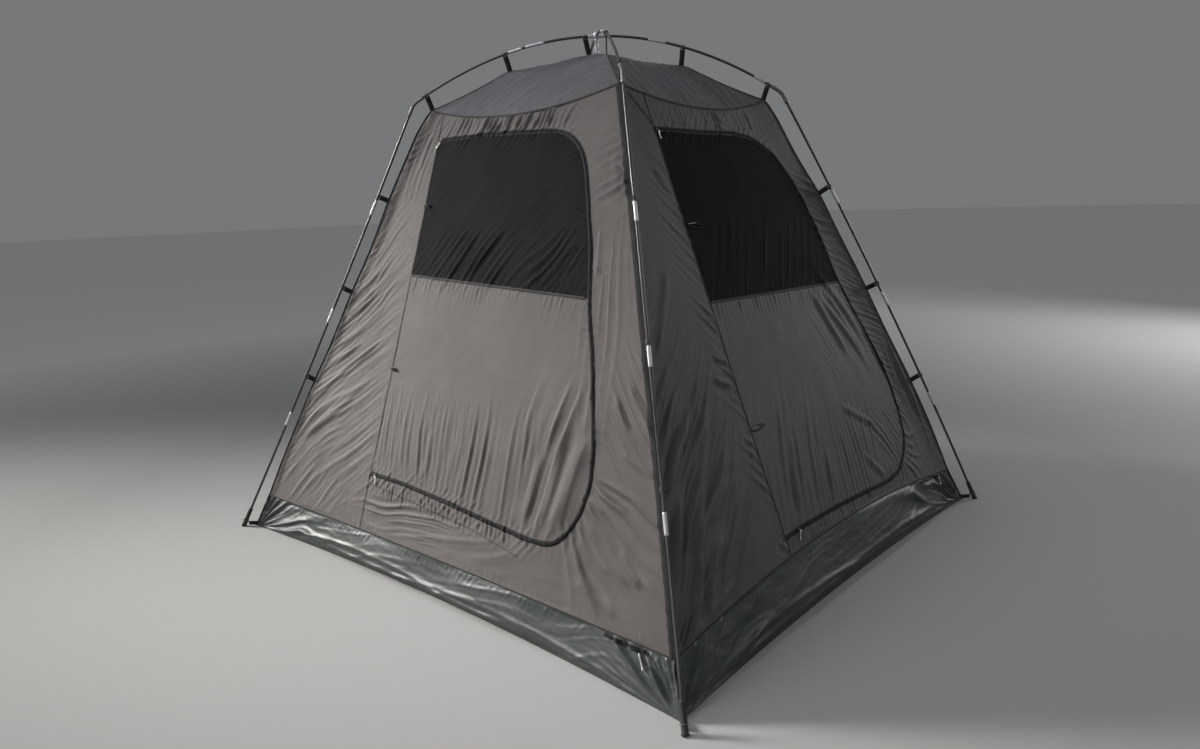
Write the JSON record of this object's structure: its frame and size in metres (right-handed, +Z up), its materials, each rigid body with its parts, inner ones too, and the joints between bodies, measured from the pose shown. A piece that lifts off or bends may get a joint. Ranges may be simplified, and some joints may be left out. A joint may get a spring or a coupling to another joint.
{
  "type": "inner tent",
  "caption": "Free-standing inner tent hung under an arched pole frame, with zipped D-shaped doors, mesh windows and a bathtub floor.",
  "frame": {"origin": "on the ground under the hub, at the centre of the rectangle of the pole feet", "axes": "+Z up; -Y faces the front door's wall; +X faces the right door's wall"},
  "size_m": [2.4219, 2.2213, 2.011],
  "materials": {
    "wall_polyester": "breathable woven polyester, matt warm grey",
    "roof_polyester": "breathable woven polyester, matt bluish grey",
    "window_mesh": "fine black insect mesh",
    "floor_polyethylene": "coated woven polyethylene, slightly glossy dark grey",
    "webbing": "black woven webbing",
    "pole_coating": "smooth dark slate coating",
    "bright_metal": "plated, satin",
    "black_rubber": "matt black"
  },
  "bodies": {
    "tent": {"front_wall_hinge_strip": "wall_polyester", "front_wall_header": "wall_polyester", "front_wall_sill": "wall_polyester", "front_wall_zip_strip": "wall_polyester", "right_wall_hinge_strip": "wall_polyester", "right_wall_header": "wall_polyester", "right_wall_sill": "wall_polyester", "right_wall_zip_strip": "wall_polyester", "back_wall": "wall_polyester", "back_window_mesh": "window_mesh", "left_wall": "wall_polyester", "left_window_mesh": "window_mesh", "front_roof": "roof_polyester", "bathtub_front": "floor_polyethylene", "right_roof": "roof_polyester", "bathtub_right": "floor_polyethylene", "back_roof": "roof_polyester", "bathtub_back": "floor_polyethylene", "left_roof": "roof_polyester", "bathtub_left": "floor_polyethylene", "groundsheet": "floor_polyethylene", "front_left_roof_pole": "pole_coating", "front_left_leg_pole": "pole_coating", "front_left_elbow": "bright_metal", "front_left_boot": "black_rubber", "front_left_webbing": "webbing", "front_right_roof_pole": "pole_coating", "front_right_leg_pole": "pole_coating", "front_right_elbow": "bright_metal", "front_right_boot": "black_rubber", "front_right_webbing": "webbing", "back_right_roof_pole": "pole_coating", "back_right_leg_pole": "pole_coating", "back_right_elbow": "bright_metal", "back_right_boot": "black_rubber", "back_right_webbing": "webbing", "back_left_roof_pole": "pole_coating", "back_left_leg_pole": "pole_coating", "back_left_elbow": "bright_metal", "back_left_boot": "black_rubber", "back_left_webbing": "webbing", "hub": "bright_metal", "hub_stem": "bright_metal"},
    "front_door": {"front_door_panel": "wall_polyester", "front_door_mesh": "window_mesh"},
    "right_door": {"right_door_panel": "wall_polyester", "right_door_mesh": "window_mesh"}
  },
  "joints": [
    {"name": "front_door_hinge", "type": "hinge", "parent": "tent", "child": "front_door", "pos_m": [-0.41, -0.71353, 1.00033], "axis": [0, -0.3304, -0.9439], "range_deg": [0, 150]},
    {"name": "right_door_hinge", "type": "hinge", "parent": "tent", "child": "right_door", "pos_m": [0.7783, -0.345, 1.00036], "axis": [0.3567, 0, -0.9342], "range_deg": [0, 150]}
  ]
}
